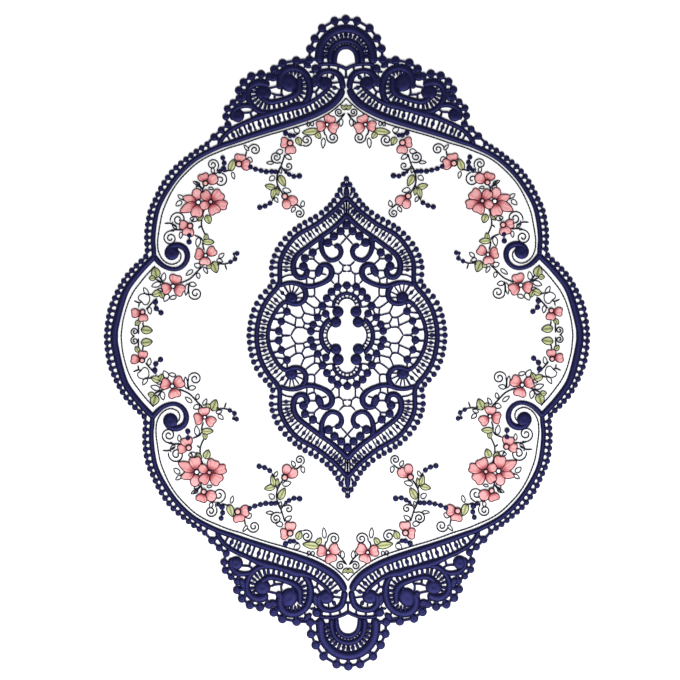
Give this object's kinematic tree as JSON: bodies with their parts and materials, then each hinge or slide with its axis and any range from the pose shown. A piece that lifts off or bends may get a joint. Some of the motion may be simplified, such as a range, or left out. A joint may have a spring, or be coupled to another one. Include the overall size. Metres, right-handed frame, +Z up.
{
  "type": "lace doily",
  "caption": "Flat oval lace doily: sheer ground with embroidered flower sprays, openwork lace border with a crest at each end, and a lace medallion in the centre.",
  "frame": {"origin": "middle of the underside, which lies flat on the surface", "axes": "+Y along the length towards one crest, +X across the width, +Z up out of the right side"},
  "size_m": [0.2958, 0.3998, 0.0018],
  "materials": {
    "sheer_ground": "sheer plain weave with flower embroidery",
    "lace_thread": "satin embroidery thread"
  },
  "bodies": {
    "root": {"ground": "sheer_ground", "border": "lace_thread", "medallion": "lace_thread"}
  },
  "joints": []
}
